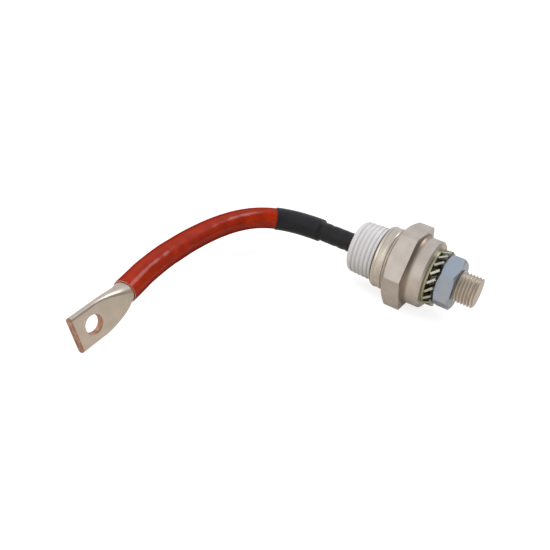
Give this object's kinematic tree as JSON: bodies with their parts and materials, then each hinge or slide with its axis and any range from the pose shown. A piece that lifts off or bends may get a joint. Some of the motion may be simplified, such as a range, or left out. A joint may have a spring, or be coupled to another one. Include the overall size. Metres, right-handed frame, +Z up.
{
  "type": "rectifier diode",
  "caption": "Stud-mount power rectifier diode with a hexagon base, ribbed ceramic housing, sleeved flexible lead, pressed tube lug, washers and nut.",
  "frame": {"origin": "on the bench under the middle of the diode's body, the lead left out; the body lies on one flat of its hexagon", "axes": "+X out along the threaded stud, +Z up; the lead leaves the ceramic towards -X and turns towards -Y"},
  "size_m": [0.1043, 0.1362, 0.031],
  "materials": {
    "nickel_plated_copper": "satin nickel plate on copper, with a warm tone",
    "nickel_plated_steel": "bright turned nickel plate",
    "steel": "plain steel",
    "zinc_plate": "blue zinc plate, satin",
    "yellow_plate": "pale yellowish plate",
    "tinned_copper": "satin tin on copper, with bare copper at its cuts",
    "copper": "bare copper",
    "molybdenum": "dull grey metal",
    "ceramic": "white glazed alumina",
    "mica": "pale insulating sheet",
    "silicon": "dark polished silicon",
    "silicone": "milky silicone rubber",
    "black_shrink": "semi-matt black shrink sleeve",
    "red_varnished": "glossy red sleeve"
  },
  "bodies": {
    "root": {"stud_base": "nickel_plated_copper", "case_ring": "nickel_plated_steel", "seal_flange": "nickel_plated_steel", "ceramic_insulator": "ceramic", "seal_tube": "nickel_plated_steel", "solder_foil": "tinned_copper", "lower_disc": "molybdenum", "silicon_wafer": "silicon", "upper_disc": "molybdenum", "junction_coating": "silicone", "contact_pole": "copper", "insulating_washer": "mica", "insulating_sleeve": "mica", "pressure_plate": "steel", "disc_spring_1": "steel", "disc_spring_2": "steel", "disc_spring_3": "steel", "spring_retainer": "steel", "inner_lead": "copper", "crimp_ferrule": "tinned_copper", "stranded_lead": "copper", "black_sleeve": "black_shrink", "red_sleeve": "red_varnished", "terminal_lug": "tinned_copper", "flat_washer": "yellow_plate", "lock_washer": "zinc_plate", "hex_nut": "zinc_plate"}
  },
  "joints": []
}
